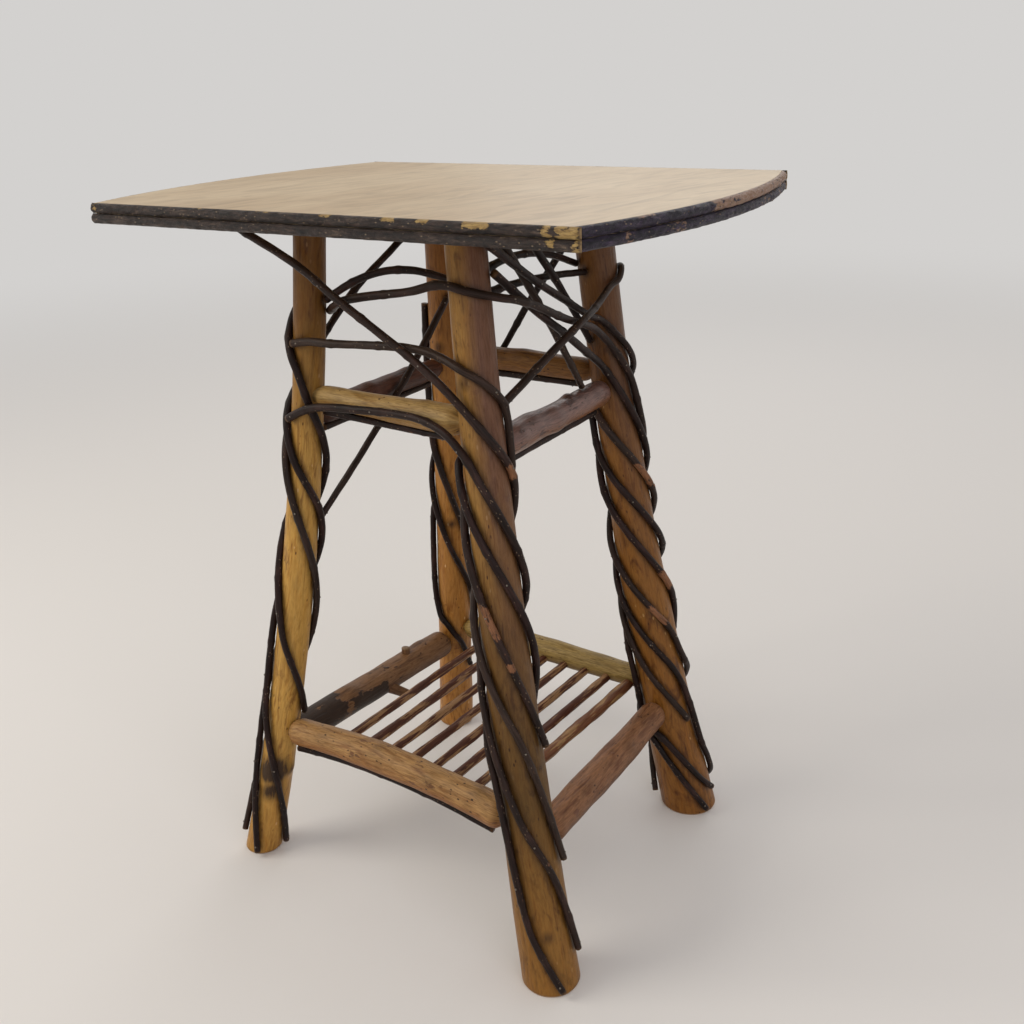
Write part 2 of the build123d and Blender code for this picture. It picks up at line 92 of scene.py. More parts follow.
def twig_line(node):
    """The middles of a six-sided twig's rings, walked from one cut end to the other."""
    places, triangles, beside = merged(node)
    ends = [
        t for t in triangles
        if all(np.linalg.norm(places[a] - places[b]) < RING_ACROSS for a in t for b in t)
    ]
    ring = set(ends[0])
    while len(ring) < RING_CORNERS:
        ring |= {i for t in ends if ring & set(t) for i in t}
    seen, middles = set(ring), [places[list(ring)].mean(axis=0)]
    while True:
        ring = {j for i in ring for j in beside[i]} - seen
        if not ring:
            return np.array(middles)
        seen |= ring
        middles.append(places[list(ring)].mean(axis=0))


def branch_line(node):
    """The straight middle line of a tenoned branch, and its radius at each of its own rings."""
    places = merged(node)[0]
    far = places[np.argmax(np.linalg.norm(places - places.mean(axis=0), axis=1))]
    other = places[np.argmax(np.linalg.norm(places - far, axis=1))]
    rough = (other - far) / np.linalg.norm(other - far)
    along = (places - far) @ rough
    a = places[along < along.min() + END_REACH].mean(axis=0)
    b = places[along > along.max() - END_REACH].mean(axis=0)
    if a[0] + a[1] > b[0] + b[1]:
        a, b = b, a
    axis = (b - a) / np.linalg.norm(b - a)
    along = (places - a) @ axis
    out = np.linalg.norm(places - a - along[:, None] * axis, axis=1)
    rings = []
    for s in sorted(set(np.round(along, 4))):
        near = np.abs(along - s) < SAME_RING
        if near.sum() >= RING_CORNERS:
            rings.append((s, out[near].max()))
    return a, b, np.array(rings)


def leg_rings(node):
    """A leg's level rings: heights, middles and radii."""
    places = merged(node)[0]
    rings = []
    for z in sorted(set(np.round(places[:, 2], 4))):
        ring = places[np.abs(places[:, 2] - z) < SAME_LEVEL]
        if len(ring) >= LEG_CORNERS:
            middle = ring.mean(axis=0)
            rings.append([*middle, np.linalg.norm(ring[:, :2] - middle[:2], axis=1).max()])
    return np.array(rings)


# ---- making round pieces ----

def eased(points, times=3):
    """Corners cut again and again, so a bent run becomes one smooth curve that keeps its two ends."""
    points = np.array(points)
    for _ in range(times):
        if len(points) < 3:
            return points
        cut = [points[0]]
        for a, b in zip(points[:-1], points[1:]):
            cut += [a * 0.75 + b * 0.25, a * 0.25 + b * 0.75]
        points = np.array([*cut[:1], *cut[2:-1], points[-1]])
    return points


def even(points, step):
    """The same curve with points at even distances, and how far along it each one is."""
    runs = np.concatenate([[0], np.cumsum(np.linalg.norm(np.diff(points, axis=0), axis=1))])
    count = max(4, round(runs[-1] / step))
    at = np.linspace(0, runs[-1], count + 1)
    return np.stack([np.interp(at, runs, points[:, k]) for k in range(3)], axis=1), at


def carried_frames(path):
    """Two directions across the path at each point, carried along without twisting."""
    ways = np.gradient(path, axis=0)
    ways /= np.linalg.norm(ways, axis=1)[:, None]
    side = np.cross(ways[0], (0, 0, 1) if abs(ways[0][2]) < 0.9 else (1, 0, 0))
    sides = []
    for way in ways:
        side = side - way * (side @ way)
        side = side / np.linalg.norm(side)
        sides.append(side)
    sides = np.array(sides)
    return sides, np.cross(ways, sides)


def ripple(points, scale, seed):
    """Soft random swelling in -1 to 1 at each point; scale is the size of one swelling."""
    shift = Vector((seed * 7.31, seed * 3.17, seed * 5.73))
    return np.array([noise.noise(Vector(p) / scale + shift) for p in points])


def directions(count):
    """Angles spread evenly round a branch."""
    return np.linspace(0, 2 * math.pi, count, endpoint=False)


def wrapped(angle):
    """The same direction, brought within half a turn to each side."""
    return (angle + math.pi) % (2 * math.pi) - math.pi


def put(name, data):
    """A new object in the scene."""
    thing = bpy.data.objects.new(name, data)
    bpy.context.scene.collection.objects.link(thing)
    return thing


def new_piece(name, corners, faces, material):
    """A smooth mesh in the scene with one finish."""
    mesh = bpy.data.meshes.new(name)
    mesh.from_pydata(corners, [], faces)
    mesh.polygons.foreach_set("use_smooth", [True] * len(faces))
    mesh.materials.append(material)
    return put(name, mesh)


def add_value(piece, name, values):
    """Keeps one number for each corner of a piece, which its finish reads; the middles of its ends get the
    mean."""
    values = np.concatenate([values, [values.mean()] * (len(piece.data.vertices) - len(values))])
    piece.data.attributes.new(name, "FLOAT", "POINT").data.foreach_set("value", values)


def skin(name, rings, straight, material):
    """A closed skin over rings of points; straight holds each point's place on the branch laid straight."""
    count, sides = rings.shape[:2]
    middles = rings.mean(axis=1)
    points = np.concatenate([rings.reshape(-1, 3), [middles[0], middles[-1]]])
    faces = []
    for i in range(count - 1):
        for j in range(sides):
            k = (j + 1) % sides
            faces.append((i * sides + j, i * sides + k, (i + 1) * sides + k, (i + 1) * sides + j))
    top = (count - 1) * sides
    for j in range(sides):
        k = (j + 1) % sides
        faces.append((count * sides, k, j))
        faces.append((count * sides + 1, top + j, top + k))
    piece = new_piece(name, points.tolist(), faces, material)
    flat = np.concatenate([straight.reshape(-1, 3), [straight[0].mean(axis=0), straight[-1].mean(axis=0)]])
    kept = piece.data.attributes.new("straight", "FLOAT_VECTOR", "POINT")
    kept.data.foreach_set("vector", flat.reshape(-1))
    cut = np.zeros(len(points))
    cut[:sides] = 1
    cut[top:] = 1
    add_value(piece, "cut_end", cut)
    return piece


SWELLING_DRAWN_OUT = 0.45   # a swelling is this much less steep along the branch than round it
NEXT_SWELLING = 11          # seeds from one size of swelling to the next
GRAIN_SHIFT = 0.13          # metres of grain from one seed to the next


def round_piece(name, path, at, radius, sides, seed, rough, material, level=False):
    """A natural round of wood along a path. radius gives each ring's radius or each point's; rough is a list
    of swellings, each its size and its height; level keeps every ring level, as on a leg."""
    if level:
        across = np.tile((1.0, 0, 0), (len(path), 1))
        other = np.tile((0, 1.0, 0), (len(path), 1))
    else:
        across, other = carried_frames(path)
    turn = directions(sides)
    radius = np.broadcast_to(np.asarray(radius).reshape(len(path), -1), (len(path), sides))
    middle = radius.mean()
    places = np.broadcast_arrays(middle * np.cos(turn), middle * np.sin(turn), at[:, None])
    straight = np.stack(places, axis=2)
    shape = radius.copy()
    for size, high in rough:
        places = (straight * (1, 1, SWELLING_DRAWN_OUT)).reshape(-1, 3)
        shape += ripple(places, size, seed).reshape(shape.shape) * high
        seed += NEXT_SWELLING
    outward = across[:, None] * np.cos(turn)[None, :, None] + other[:, None] * np.sin(turn)[None, :, None]
    rings = path[:, None] + outward * shape[:, :, None]
    return skin(name, rings, straight + (seed * GRAIN_SHIFT, 0, 0), material)


def placed(piece, slot, *nodes):
    """The piece rides on the table's one body and stands for its plain solids."""
    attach(piece, "root")
    if nodes:
        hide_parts(*nodes)


# ---- finishes ----

# How one colour goes on another: laid over it, or multiplied in.
OVER = dict(data_type="RGBA")
TIMES = dict(data_type="RGBA", blend_type="MULTIPLY")
# The sockets of a colour mix: the upper colour's share, the two colours, and the mixed one.
SHARE, LOWER, UPPER, MIXED = 0, 6, 7, 2
# In a map range, 0 is the value, 1 and 2 are what it runs between, and 3 and 4 are what that becomes.


def new_material(name, sockets):
    """A node material, and its shader with the numbers and colours that are the same all over."""
    material = bpy.data.materials.new(name)
    material.use_nodes = True
    shader = material.node_tree.nodes["Principled BSDF"]
    for socket, value in sockets.items():
        join(material, shader, socket, value)
    return material, shader


def join(material, node, socket, value):
    """Sets a socket, or links it where the value is another node's output."""
    if isinstance(value, bpy.types.NodeSocket):
        material.node_tree.links.new(value, node.inputs[socket])
    else:
        node.inputs[socket].default_value = value


def add(material, kind, inputs, out=0, stops=(), **settings):
    """Adds a node with its settings, links and colour stops, and gives back one of its outputs."""
    node = material.node_tree.nodes.new(kind)
    for key, value in settings.items():
        setattr(node, key, value)
    for socket, value in inputs.items():
        join(material, node, socket, value)
    if stops:
        elements = node.color_ramp.elements
        while len(elements) < len(stops):
            elements.new(0.5)
        for element, (place, colour) in zip(elements, stops):
            element.position = place
            element.color = rgb(colour)
    return node.outputs[out]


def streaks(material, along, across, detail=4.0, rough=0.55, twist=0.0):
    """A natural pattern laid along a branch: along and across are the lengths of one streak in metres."""
    spot = add(material, "ShaderNodeAttribute", {}, "Vector", attribute_name="straight")
    size = (1 / across, 1 / across, 1 / along)
    scaled = add(material, "ShaderNodeVectorMath", {0: spot, 1: size}, operation="MULTIPLY")
    noise_inputs = {"Vector": scaled, "Scale": 1.0, "Detail": detail, "Roughness": rough, "Distortion": twist}
    return add(material, "ShaderNodeTexNoise", noise_inputs)


def flecks(material, along, across, size, share):
    """Scattered small marks drawn out along a branch: along and across are their spacing in metres, size is a
    mark's half width as a share of that, and share tells how many of them are there."""
    spot = add(material, "ShaderNodeAttribute", {}, "Vector", attribute_name="straight")
    spacing = (1 / across, 1 / across, 1 / along)
    scaled = add(material, "ShaderNodeVectorMath", {0: spot, 1: spacing}, operation="MULTIPLY")
    middle = add(material, "ShaderNodeTexVoronoi", {"Vector": scaled, "Scale": 1.0, "Randomness": 1.0})
    mark = add(material, "ShaderNodeMapRange", {0: middle, 1: size * 0.6, 2: size, 3: 1.0, 4: 0.0})
    where = streaks(material, along * 2.7, across * 2.7, detail=2.0)
    some = add(material, "ShaderNodeMapRange", {0: where, 1: 0.62 - 0.24 * share, 2: 0.66 - 0.24 * share})
    return add(material, "ShaderNodeMath", {0: mark, 1: some}, operation="MULTIPLY")


def dress(material, shader, base, layers, bumps, wood=None):
    """Lays each layer over the base or multiplies it in, by its share, shows the bare wood on sawn and
    snapped ends, and raises the surface. A bump is a height and how far it stands up, in millimetres."""
    if wood:
        cut = add(material, "ShaderNodeAttribute", {}, "Fac", attribute_name="cut_end")
        layers = [*layers, (OVER, cut, wood)]
    for how, share, colour in layers:
        colour = rgb(colour) if isinstance(colour, str) else colour
        base = add(material, "ShaderNodeMix", {SHARE: share, LOWER: base, UPPER: colour}, MIXED, **how)
    join(material, shader, "Base Color", base)
    below = {}
    for height, high in bumps:
        bump = add(material, "ShaderNodeBump", {"Height": height, "Distance": high * MM, **below})
        below = {"Normal": bump}
    join(material, shader, "Normal", bump)
    return material


SHADED_SIDE_FROM = (0.93, 0.34, 0.0)       # the side of a leg away from the window, where painted shade makes it darker and greyer


def varnished_sapling(name, light, dark, streak, height_shade, shaded_side_tone=None, shaded_side_share=0.0):
    """Hickory sapling, peeled and brush varnished: mottled amber with wavy brown grain, small dark pits and
    pale flecks, in part painted highlights, under a thin uneven gloss, darker at the knots; with painted
    shade beside the twigs, where varnish and dirt gathered too, painted shade by height, and on the side away
    from the window."""
    material, shader = new_material(name, {"Specular IOR Level": 0.22})
    mottle = streaks(material, 44 * MM, 16 * MM, detail=6.0, rough=0.62, twist=1.2)
    waves = streaks(material, 70 * MM, 9 * MM, detail=5.0, twist=2.2)
    hairs = streaks(material, 13 * MM, 2.0 * MM, detail=5.0, rough=0.68)
    gloss = add(material, "ShaderNodeMapRange", {0: mottle, 1: 0.3, 2: 0.7, 3: 0.30, 4: 0.48})
    join(material, shader, "Roughness", gloss)
    tone = add(
        material, "ShaderNodeValToRGB", {"Fac": mottle},
        stops=[(0.30, dark), (0.45, light), (0.60, light), (0.72, streak)]
    )
    wavy = add(
        material, "ShaderNodeValToRGB", {"Fac": waves},
        stops=[(0.30, "#b39875"), (0.46, "#ffffff"), (0.60, "#fff6e6"), (0.72, "#cdb48f")]
    )
    fine = add(material, "ShaderNodeValToRGB", {"Fac": hairs}, stops=[(0.34, "#c2b29a"), (0.60, "#ffffff")])
    pits = flecks(material, 12 * MM, 4.5 * MM, 0.18, 0.3)
    # Pale flecks: pale scuffs in the wood, and in part painted highlight streaks.
    pale_scuffs_and_highlights = flecks(material, 17 * MM, 7 * MM, 0.16, 0.35)
    place = add(material, "ShaderNodeNewGeometry", {}, "Position")
    height = add(material, "ShaderNodeSeparateXYZ", {0: place}, "Z")
    share = add(material, "ShaderNodeMapRange", {0: height, 1: 0.0, 2: 0.7})
    # Painted shade by height, multiplied in: darker below the tabletop, where its shadow falls, and lower
    # down on some legs.
    height_shade_colour = add(material, "ShaderNodeValToRGB", {"Fac": share}, stops=height_shade)
    layers = [
        (TIMES, 0.75, wavy), (TIMES, 0.5, fine), (OVER, pits, "#55351a"), (OVER, pale_scuffs_and_highlights, "#cfa873"),
        (TIMES, 1.0, height_shade_colour)
    ]
    # Painted shade: above mid height, the side away from the window goes darker and greyer.
    if shaded_side_tone:
        normal = add(material, "ShaderNodeNewGeometry", {}, "Normal")
        both = {0: normal, 1: SHADED_SIDE_FROM}
        turned = add(material, "ShaderNodeVectorMath", both, "Value", operation="DOT_PRODUCT")
        side = add(material, "ShaderNodeMapRange", {0: turned, 1: -0.3, 2: 0.45, 3: 0.0, 4: shaded_side_share})
        upper = add(material, "ShaderNodeMapRange", {0: height, 1: 0.25, 2: 0.5})
        side = add(material, "ShaderNodeMath", {0: side, 1: upper}, operation="MULTIPLY")
        shaded_side_colour = add(material, "ShaderNodeMix", {SHARE: 0.75, LOWER: rgb(shaded_side_tone), UPPER: fine}, MIXED, **TIMES)
        layers.append((OVER, side, shaded_side_colour))
    knot = add(material, "ShaderNodeAttribute", {}, "Fac", attribute_name="knot")
    ragged = add(material, "ShaderNodeMath", {0: knot, 1: hairs}, operation="MULTIPLY")
    knotty = add(material, "ShaderNodeMapRange", {0: ragged, 1: 0.06, 2: 0.34, 3: 0.0, 4: 0.95})
    # Darker beside the twigs: painted shade there, together with the varnish and dirt that gathered.
    twig_shade_and_stain = add(material, "ShaderNodeAttribute", {}, "Fac", attribute_name="twig_shade_and_stain")
    broken = streaks(material, 9 * MM, 4 * MM, detail=3.0)
    edge = add(material, "ShaderNodeMapRange", {0: broken, 1: 0.25, 2: 0.7, 3: 0.35, 4: 1.0})
    twig_shade_and_dirt = add(material, "ShaderNodeMath", {0: twig_shade_and_stain, 1: edge}, operation="MULTIPLY")
    layers += [(OVER, knotty, "#2a1a10"), (OVER, twig_shade_and_dirt, "#2b1a10")]
    return dress(material, shader, tone, layers, [(waves, 0.8), (hairs, 0.2)], "#a98352")


def peeled_branch(name, light, dark, under, bark_share=0.0, bark="#2c211b", rough=0.45, shine=0.22):
    """Branch peeled with a drawknife: strips of inner bark left between cleaner wood, small knots, thin
    varnish; the underside is another tone, painted shade together with the tone of the varnish that ran
    there."""
    material, shader = new_material(name, {"Specular IOR Level": shine, "Roughness": rough})
    strips = streaks(material, 42 * MM, 5 * MM, detail=5.0, twist=0.9)
    patches = streaks(material, 24 * MM, 10 * MM, detail=5.0, rough=0.62)
    fine = streaks(material, 11 * MM, 1.1 * MM, detail=4.0, rough=0.65)
    tone = add(
        material, "ShaderNodeValToRGB", {"Fac": strips},
        stops=[(0.34, dark), (0.50, light), (0.66, light), (0.78, dark)]
    )
    # The part that faces down takes the underside tone: painted shade, with the varnish's own tone there.
    normal = add(material, "ShaderNodeNewGeometry", {}, "Normal")
    facing = add(material, "ShaderNodeSeparateXYZ", {0: normal}, "Z")
    low = add(material, "ShaderNodeMapRange", {0: facing, 1: -0.55, 2: 0.25, 3: 0.75, 4: 0.0})
    veil = add(material, "ShaderNodeValToRGB", {"Fac": fine}, stops=[(0.34, "#8f8880"), (0.62, "#ffffff")])
    pits = flecks(material, 9 * MM, 5 * MM, 0.2, 0.5)
    left_on = add(material, "ShaderNodeAttribute", {}, "Fac", attribute_name="bark")
    ragged = add(material, "ShaderNodeMath", {0: left_on, 1: patches}, operation="ADD")
    start = 0.66 - 0.3 * bark_share
    left = add(material, "ShaderNodeMapRange", {0: ragged, 1: start, 2: start + 0.04, 3: 0.0, 4: 0.9})
    knot = add(material, "ShaderNodeAttribute", {}, "Fac", attribute_name="knot")
    knotty = add(material, "ShaderNodeMath", {0: knot, 1: patches}, operation="MULTIPLY")
    # Darker beside the twigs: painted shade, together with stain.
    twig_shade_and_stain = add(material, "ShaderNodeAttribute", {}, "Fac", attribute_name="twig_shade_and_stain")
    layers = [
        (OVER, low, under), (TIMES, 0.65, veil), (OVER, pits, "#3a261a"), (OVER, left, bark),
        (OVER, knotty, "#2e1c12"), (OVER, twig_shade_and_stain, "#2a1d17")
    ]
    return dress(material, shader, tone, layers, [(strips, 1.1), (left, 0.5), (fine, 0.3)], "#7d654a")


def bark_twig():
    """Young hickory shoot with its bark on: nearly black brown with a thin varnish, pale breathing pores
    about 1 mm long, drawn 1.5 mm long so that they show, and places rubbed through to orange inner bark,
    most of all where the piece's own "bare" value says."""
    sockets = {"Roughness": 0.42, "Specular IOR Level": 0.16}
    material, shader = new_material("hickory_shoot_bark_on", sockets)
    ridges = streaks(material, 18 * MM, 1.6 * MM, detail=5.0, rough=0.65)
    clouds = streaks(material, 34 * MM, 12 * MM, detail=4.0)
    rubbed = streaks(material, 14 * MM, 6 * MM, detail=5.0, rough=0.7)
    pores = flecks(material, 4.6 * MM, 2.6 * MM, 0.21, 0.5)
    tone = add(
        material, "ShaderNodeValToRGB", {"Fac": clouds},
        stops=[(0.32, "#170d0b"), (0.52, "#261613"), (0.72, "#402a25")]
    )
    age = add(material, "ShaderNodeAttribute", {}, "Fac", attribute_name="age")
    bare = add(material, "ShaderNodeAttribute", {}, "Fac", attribute_name="bare")
    rubbed = add(material, "ShaderNodeMath", {0: rubbed, 1: bare}, operation="ADD")
    worn = add(material, "ShaderNodeMapRange", {0: rubbed, 1: 0.68, 2: 0.76, 3: 0.0, 4: 0.85})
    veil = add(material, "ShaderNodeValToRGB", {"Fac": ridges}, stops=[(0.32, "#504848"), (0.62, "#ffffff")])
    layers = [(OVER, age, "#43342b"), (OVER, worn, "#9a6a4a"), (TIMES, 0.7, veil), (OVER, pores, "#75624f")]
    return dress(material, shader, tone, layers, [(ridges, 0.6), (pores, 0.2)], "#5c432c")


def veneer_figure(material, spot, along, across, detail, twist):
    """Figure of the veneer at one size: along and across are the lengths of one flame in metres."""
    size = (1 / along, 1 / across, 1.0)
    scaled = add(material, "ShaderNodeVectorMath", {0: spot, 1: size}, operation="MULTIPLY")
    inputs = {"Vector": scaled, "Scale": 1.0, "Detail": detail, "Distortion": twist}
    return add(material, "ShaderNodeTexNoise", inputs)


VENEER_SLANT = -78          # degrees from the top's straight edges to the run of the figure


def veneered_top():
    """Blond maple veneer on ply, varnished: pale tan with soft brownish flames that run slantwise, satin."""
    material, shader = new_material("blond_veneer_varnished", {"Roughness": 0.42})
    place = add(material, "ShaderNodeTexCoord", {}, "Object")
    slant = {"Vector": place, "Angle": math.radians(VENEER_SLANT)}
    spot = add(material, "ShaderNodeVectorRotate", slant, rotation_type="Z_AXIS")
    flames = veneer_figure(material, spot, 105 * MM, 27 * MM, 3.0, 2.2)
    fine = veneer_figure(material, spot, 40 * MM, 3.5 * MM, 4.0, 0.6)
    wide = veneer_figure(material, spot, 260 * MM, 90 * MM, 2.0, 0.6)
    tone = add(
        material, "ShaderNodeValToRGB", {"Fac": flames},
        stops=[(0.31, "#b29b79"), (0.45, "#bfa884"), (0.58, "#c9b28e"), (0.76, "#bca583")]
    )
    veil = add(material, "ShaderNodeValToRGB", {"Fac": fine}, stops=[(0.35, "#edebe8"), (0.6, "#ffffff")])
    broad = add(material, "ShaderNodeValToRGB", {"Fac": wide}, stops=[(0.35, "#e8dfd2"), (0.65, "#ffffff")])
    return dress(material, shader, tone, [(TIMES, 0.4, veil), (TIMES, 0.7, broad)], [(fine, 0.015)])


def edging_bark(name, dark, mid, pale, flake, flake_share):
    """Split hickory sapling nailed on with its bark outwards: rough furrowed bark with pale specks, broken
    away to the pale wood in places, most of all where the piece's own "worn" value says."""
    material, shader = new_material(name, {"Roughness": 0.42, "Specular IOR Level": 0.4})
    furrows = streaks(material, 6 * MM, 1.5 * MM, detail=7.0, rough=0.75)
    clouds = streaks(material, 24 * MM, 5 * MM, detail=6.0, rough=0.65)
    flakes = streaks(material, 6 * MM, 2.6 * MM, detail=5.0, rough=0.7)
    stops = [(0.36, dark), (0.55, mid), (0.74, pale)]
    tone = add(material, "ShaderNodeValToRGB", {"Fac": clouds}, stops=stops)
    veil = add(material, "ShaderNodeValToRGB", {"Fac": furrows}, stops=[(0.38, "#2b2627"), (0.60, "#ffffff")])
    specks = flecks(material, 5 * MM, 2.8 * MM, 0.2, 0.75)
    worn = add(material, "ShaderNodeAttribute", {}, "Fac", attribute_name="worn")
    more = add(material, "ShaderNodeMath", {0: worn, 1: flakes}, operation="ADD")
    start = 0.80 - 0.2 * flake_share
    gone = add(material, "ShaderNodeMapRange", {0: more, 1: start, 2: start + 0.03})
    bare = add(material, "ShaderNodeValToRGB", {"Fac": furrows}, stops=[(0.34, "#7d5f38"), (0.62, flake)])
    kept_bark = add(material, "ShaderNodeMath", {0: 1.0, 1: gone}, operation="SUBTRACT")
    layers = [(TIMES, 0.9, veil), (OVER, specks, "#8b7760"), (OVER, gone, bare)]
    return dress(material, shader, tone, layers, [(furrows, 2.2), (kept_bark, 0.5)], "#a5875c")


def whittled_slat(name, wood, bark):
    """Branch half whittled: long flats of bare tan wood between strips where the reddish inner bark was left
    on, and no gloss to speak of."""
    material, shader = new_material(name, {"Roughness": 0.5, "Specular IOR Level": 0.2})
    strips = streaks(material, 70 * MM, 3.0 * MM, detail=4.0, twist=0.3)
    patches = streaks(material, 34 * MM, 7 * MM, detail=5.0)
    fine = streaks(material, 14 * MM, 0.9 * MM, detail=4.0, rough=0.65)
    both = add(material, "ShaderNodeMath", {0: strips, 1: patches}, operation="ADD")
    half = add(material, "ShaderNodeMath", {0: both, 1: 0.5}, operation="MULTIPLY")
    tone = add(
        material, "ShaderNodeValToRGB", {"Fac": half},
        stops=[(0.0, wood), (0.46, wood), (0.50, bark), (0.60, bark), (1.0, "#3f2620")]
    )
    veil = add(material, "ShaderNodeValToRGB", {"Fac": fine}, stops=[(0.35, "#857a70"), (0.6, "#ffffff")])
    return dress(material, shader, tone, [(TIMES, 0.6, veil)], [(half, 1.2)], "#a8845a")


# ---- bowed branches ----

# Branches that are bowed: how far the middle rises, in millimetres.
BOWED = {"lower_stretcher_front": 11, "under_twig_lower_front": 10}


def bow(node, path, at):
    """The same path with its middle risen, where the branch is a bowed one."""
    share = at / at[-1]
    return path + np.outer(BOWED.get(node, 0) * MM * 4 * share * (1 - share), (0, 0, 1))


# ---- the twigs ----

RUBBED_OFF = 0.30           # added to the rubbing where a place is rubbed right off
OLDEST = 0.75               # how far the greyest twig has gone grey; most have hardly
# Places where a twig's bark is rubbed right off: height and reach, in millimetres.
RUBBED = {
    "twig_front_right_b": [(353, 17), (317, 5)],
    "twig_front_a": [(484, 9)],
    "twig_back_right_a": [(407, 16)],
    "twig_back_right_c": [(288, 14)],
    "twig_right_b": [(252, 14)],
}


def twig_nodes():
    """The names of all twigs in the frame."""
    return [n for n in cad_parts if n.startswith(("twig_", "under_twig_"))]


def make_twigs(material):
    """Every twig as a smooth shoot, thinner towards its tip, with buds; gives back their middle lines."""
    lines = {}
    for seed, node in enumerate(sorted(twig_nodes())):
        path, at = even(eased(twig_line(node)), TWIG_STEP)
        path = bow(node, path, at)
        lines[node] = path
        share = at / at[-1]
        thick = TWIG_RADIUS * (1.04 - 0.14 * share)
        for bud in range(int(at[-1] / BUD_SPACING)):
            place = (bud + 0.25 + 0.5 * ((seed * 0.37 + bud * 0.61) % 1)) * BUD_SPACING
            thick = thick + BUD_HIGH * np.exp(-(((at - place) / BUD_WIDE) ** 2))
        rough = [(26 * MM, 0.3 * MM), (6 * MM, 0.28 * MM)]
        piece = round_piece(node + "_shoot", path, at, thick, TWIG_SIDES, seed + 1, rough, material)
        add_value(piece, "age", np.full(len(path) * TWIG_SIDES, OLDEST * ((seed * 0.618) % 1) ** 3))
        bare = np.zeros(len(path))
        for height, reach in RUBBED.get(node, []):
            bare = np.maximum(bare, RUBBED_OFF * np.exp(-(((path[:, 2] / MM - height) / reach) ** 4)))
        add_value(piece, "bare", np.repeat(bare, TWIG_SIDES))
        placed(piece, "twig_bark", node)
    return lines


SHADE_AND_STAIN_SEARCH = 20 * MM      # twigs farther from a piece than this aren't looked at
SHADE_AND_STAIN_FROM = 3.6 * MM       # from a twig's middle to where its painted shade and stain start
POINTS_AT_ONCE = 4000       # measured together, to save memory


def shade_and_stain_beside(piece, lines):
    """Keeps how near each point of a leg or stretcher lies to a twig, from 1 at its edge to 0 past the
    reach; the finishes darken by it, as painted shade beside the twig together with stain."""
    points = np.array([v.co[:] for v in piece.data.vertices])
    all_lines = np.concatenate(list(lines.values()))
    low, high = points.min(axis=0) - SHADE_AND_STAIN_SEARCH, points.max(axis=0) + SHADE_AND_STAIN_SEARCH
    near = all_lines[np.all((all_lines > low) & (all_lines < high), axis=1)]
    best = np.full(len(points), 1.0)
    for start in range(0, len(points), POINTS_AT_ONCE):
        part = points[start:start + POINTS_AT_ONCE]
        if len(near):
            apart = np.sqrt(((part[:, None] - near[None]) ** 2).sum(axis=2))
            best[start:start + POINTS_AT_ONCE] = apart.min(axis=1)
    add_value(piece, "twig_shade_and_stain", np.clip(1 - (best - SHADE_AND_STAIN_FROM) / SHADE_AND_STAIN_REACH, 0, 1) ** 1.3)


# ---- legs ----

# Colours of the legs; the last ramp of each is painted shade by height, from the foot at 0 to the top at 1:
# darker below the tabletop, where its shadow falls, and lower down on some legs.
LEG_FINISHES = {
    "leg_front_left": dict(
        light="#bf954c", dark="#8a6230", streak="#a98445",
        height_shade=[(0.0, "#e8dccc"), (0.2, "#ffffff"), (0.62, "#ffffff"), (0.86, "#98887a")],
    ),
    "leg_front_right": dict(
        light="#bc9150", dark="#7d5a30", streak="#9d7a46", shaded_side_tone="#674638", shaded_side_share=0.9,
        height_shade=[
            (0.0, "#c2b294"), (0.12, "#b7aa90"), (0.27, "#878277"), (0.5, "#978f86"), (0.62, "#cac6c1"),
            (0.92, "#cdc8be")
        ],
    ),
    "leg_back_right": dict(
        light="#a5763b", dark="#6e4622", streak="#8c5f2f", shaded_side_tone="#5f4436", shaded_side_share=0.6,
        height_shade=[(0.0, "#d0c2aa"), (0.3, "#d8cdb8"), (0.6, "#d6ccc0"), (0.74, "#ada196"), (0.9, "#b9b2ae")],
    ),
    "leg_back_left": dict(
        light="#ad7a3c", dark="#724722", streak="#91602e",
        height_shade=[(0.0, "#ffffff"), (0.3, "#ffffff"), (0.6, "#ffffff"), (0.9, "#cabdb0")],
    ),
}
# Knots on the legs: height in millimetres, direction about the upright in degrees, how proud and how wide in
# millimetres, and how dark.
LEG_KNOTS = {
    "leg_front_left": [
        (108, 298, 3.0, 15, 1.3), (82, 302, 0.6, 12, 0.8), (106, 352, 4.0, 9, 0.6), (400, 285, 0.9, 6, 0.5),
        (520, 300, 0.7, 4, 0.6)
    ],
    "leg_front_right": [
        (390, 300, 0.8, 7, 0.2), (560, 265, 1.2, 7, 0.5), (500, 320, 0.8, 5, 0.25), (215, 280, 0.9, 6, 0.3),
        (60, 310, 1.0, 7, 0.5)
    ],
    "leg_back_right": [(420, 300, 0.8, 8, 0.15), (250, 290, 0.8, 8, 0.2)],
    "leg_back_left": [(300, 300, 1.0, 7, 0.6), (520, 280, 1.0, 7, 0.6)],
}


def knot_shape(at, place, turn, angle, radius, wide):
    """How much each point of a round piece belongs to a knot, 1 at its middle."""
    gap = wrapped(turn - math.radians(angle))
    along, round_it = (at - place)[:, None], gap[None, :] * radius[:, None]
    return np.exp(-((along / (wide * MM)) ** 2 + (round_it / (wide * MM)) ** 2))


FOOT_ROUNDING = 1.5 * MM    # worn off the sawn edge of a foot, over twice that height


